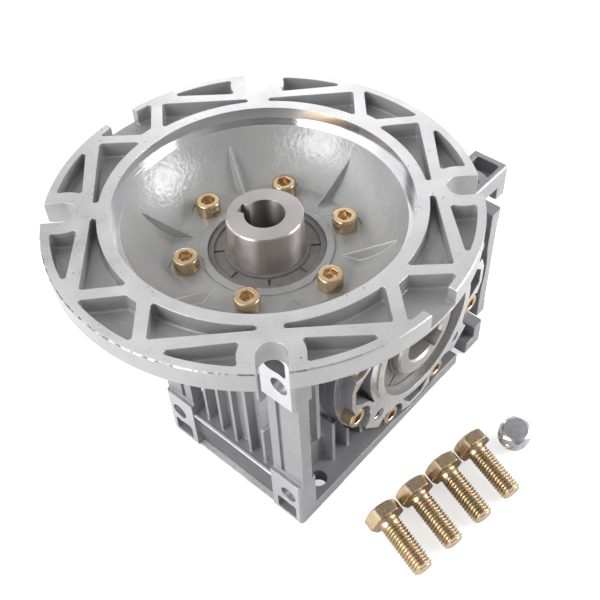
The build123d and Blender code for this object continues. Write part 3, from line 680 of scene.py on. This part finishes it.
# Studio: white floor and backdrop for the lens, soft light from above.
FLOOR_HALF, FLOOR_Z = 6.0, -60.1 * MM
floor_mesh = bpy.data.meshes.new("studio_floor")
floor_mesh.from_pydata([(x * FLOOR_HALF, y * FLOOR_HALF, FLOOR_Z)
                        for x, y in ((-1, -1), (1, -1), (1, 1), (-1, 1))], [], [(0, 1, 2, 3)])
floor = bpy.data.objects.new("studio_floor", floor_mesh)
bpy.context.scene.collection.objects.link(floor)
g = Graph("floor_white")
g.set(Base_Color=(0.8, 0.8, 0.8, 1), Roughness=1.0, Specular_IOR_Level=0.0)
path = g.tree.nodes.new("ShaderNodeLightPath")
# Reflections see a white floor too, but not close to the feet.
away = g.fit(g.axis("rz", (-10 * MM, 0, 0)), 0.09, 0.16, 0.0, 0.36)
seen = g.maths("ADD", g.maths("MULTIPLY", path.outputs["Is Camera Ray"], 0.60),
               g.maths("MULTIPLY", path.outputs["Is Glossy Ray"], away))
glow = g.node("ShaderNodeEmission", Color=(1, 1, 1, 1), Strength=seen)
both = g.tree.nodes.new("ShaderNodeAddShader")
g.put(both.inputs[0], g.shader.outputs[0])
g.put(both.inputs[1], glow.outputs[0])
g.put(g.surface, both.outputs[0])
floor_mesh.materials.append(g.mat)

world = bpy.data.worlds.new("studio")
world.use_nodes = True
sky = Nodes(world.node_tree, "Generated")


def toward(x, y, z):
    """How far a sky direction leans toward a fixed one, as a cosine."""
    return sky.vector("DOT_PRODUCT", sky.where, Vector((x, y, z)).normalized())


def greys(cosine, stops):
    """Ramp of greys over a cosine from -1 to 1."""
    return sky.ramp(sky.fit(cosine, -1, 1), [((at + 1) / 2, (v, v, v)) for at, v in stops])


# Greys that are dark on the photograph's side and change with height, a dimmer patch high
# over +Y and a bright one straight across from the photograph's side.
front = greys(toward(-0.74, -0.67, 0.0),
              [(-1, 0.9), (-0.3, 0.95), (0.35, 0.95), (0.8, 0.26), (1, 0.20)])
height = greys(toward(0, 0, 1),
               [(-1, 0.5), (-0.1, 0.6), (0.25, 0.85), (0.55, 0.7), (0.68, 0.56), (0.82, 0.48),
                (0.89, 0.33), (1, 0.33)])
shade = sky.fit(toward(0.05, 0.74, 0.67), 0.86, 0.985, 1.0, 0.42, smooth=True)
lobe = sky.fit(toward(0.63, 0.59, 0.5), 0.93, 0.998, 0.0, 0.75, smooth=True)
light = sky.mix(1.0, sky.mix(1.0, front, height, "MULTIPLY"), shade, "MULTIPLY")
light = sky.mix(1.0, light, lobe, "ADD")
path = sky.tree.nodes.new("ShaderNodeLightPath")
backdrop = sky.mix(path.outputs["Is Camera Ray"], light, (1, 1, 1))
background = sky.node("ShaderNodeBackground", Color=backdrop, Strength=1.07)
sky.put(sky.tree.nodes.new("ShaderNodeOutputWorld").inputs[0], background.outputs[0])
bpy.context.scene.world = world


def softbox(name, place, aim, size, power, size_y=None):
    """Area lamp at place, turned to aim, size metres square or size by size_y."""
    data = bpy.data.lights.new(name, "AREA")
    data.energy = power
    data.size = size
    if size_y:
        data.shape = "RECTANGLE"
        data.size_y = size_y
    lamp = bpy.data.objects.new(name, data)
    bpy.context.scene.collection.objects.link(lamp)
    lamp.location = place
    lamp.rotation_mode = "QUATERNION"
    lamp.rotation_quaternion = (Vector(aim) - Vector(place)).to_track_quat("-Z", "Y")


softbox("back_box", (-0.38, 0.56, 0.86), (0, 0, 0.03), 1.2, 4.5)
softbox("left_box", (-1.1, 0.1, 0.45), (0, 0, 0.02), 0.6, 10.0, 0.9)
softbox("right_box", (0.72, -0.87, 0.45), (0, 0, 0), 0.6, 12.0, 0.9)

# Camera fitted to the photograph, in pixels, millimetres and degrees.
IMAGE, FOCAL, CENTRE = 600, 897.24, (311.75, 287.78)
AIM, DISTANCE = (-10.03, 13.87, 0), 428.65
AZ, EL, ROLL = math.radians(-47.48), math.radians(47.07), math.radians(-2.24)
back = Vector((math.sin(AZ) * math.cos(EL), -math.cos(AZ) * math.cos(EL), math.sin(EL)))
right = Vector((math.cos(AZ), math.sin(AZ), 0))
up = back.cross(right)
right_r = right * math.cos(ROLL) + up * math.sin(ROLL)
up_r = up * math.cos(ROLL) - right * math.sin(ROLL)
cam_data = bpy.data.cameras.new("camera")
cam_data.sensor_width = 36.0
cam_data.lens = FOCAL / IMAGE * cam_data.sensor_width
cam_data.shift_x = (IMAGE / 2 - CENTRE[0]) / IMAGE
cam_data.shift_y = (CENTRE[1] - IMAGE / 2) / IMAGE
cam_data.clip_start, cam_data.clip_end = 0.01, 50
camera = bpy.data.objects.new("camera", cam_data)
bpy.context.scene.collection.objects.link(camera)
turn = Matrix((right_r, up_r, back)).transposed().to_4x4()
turn.translation = (Vector(AIM) + back * DISTANCE) * MM
camera.matrix_world = turn
bpy.context.scene.camera = camera
bpy.context.scene.view_settings.view_transform = "Standard"
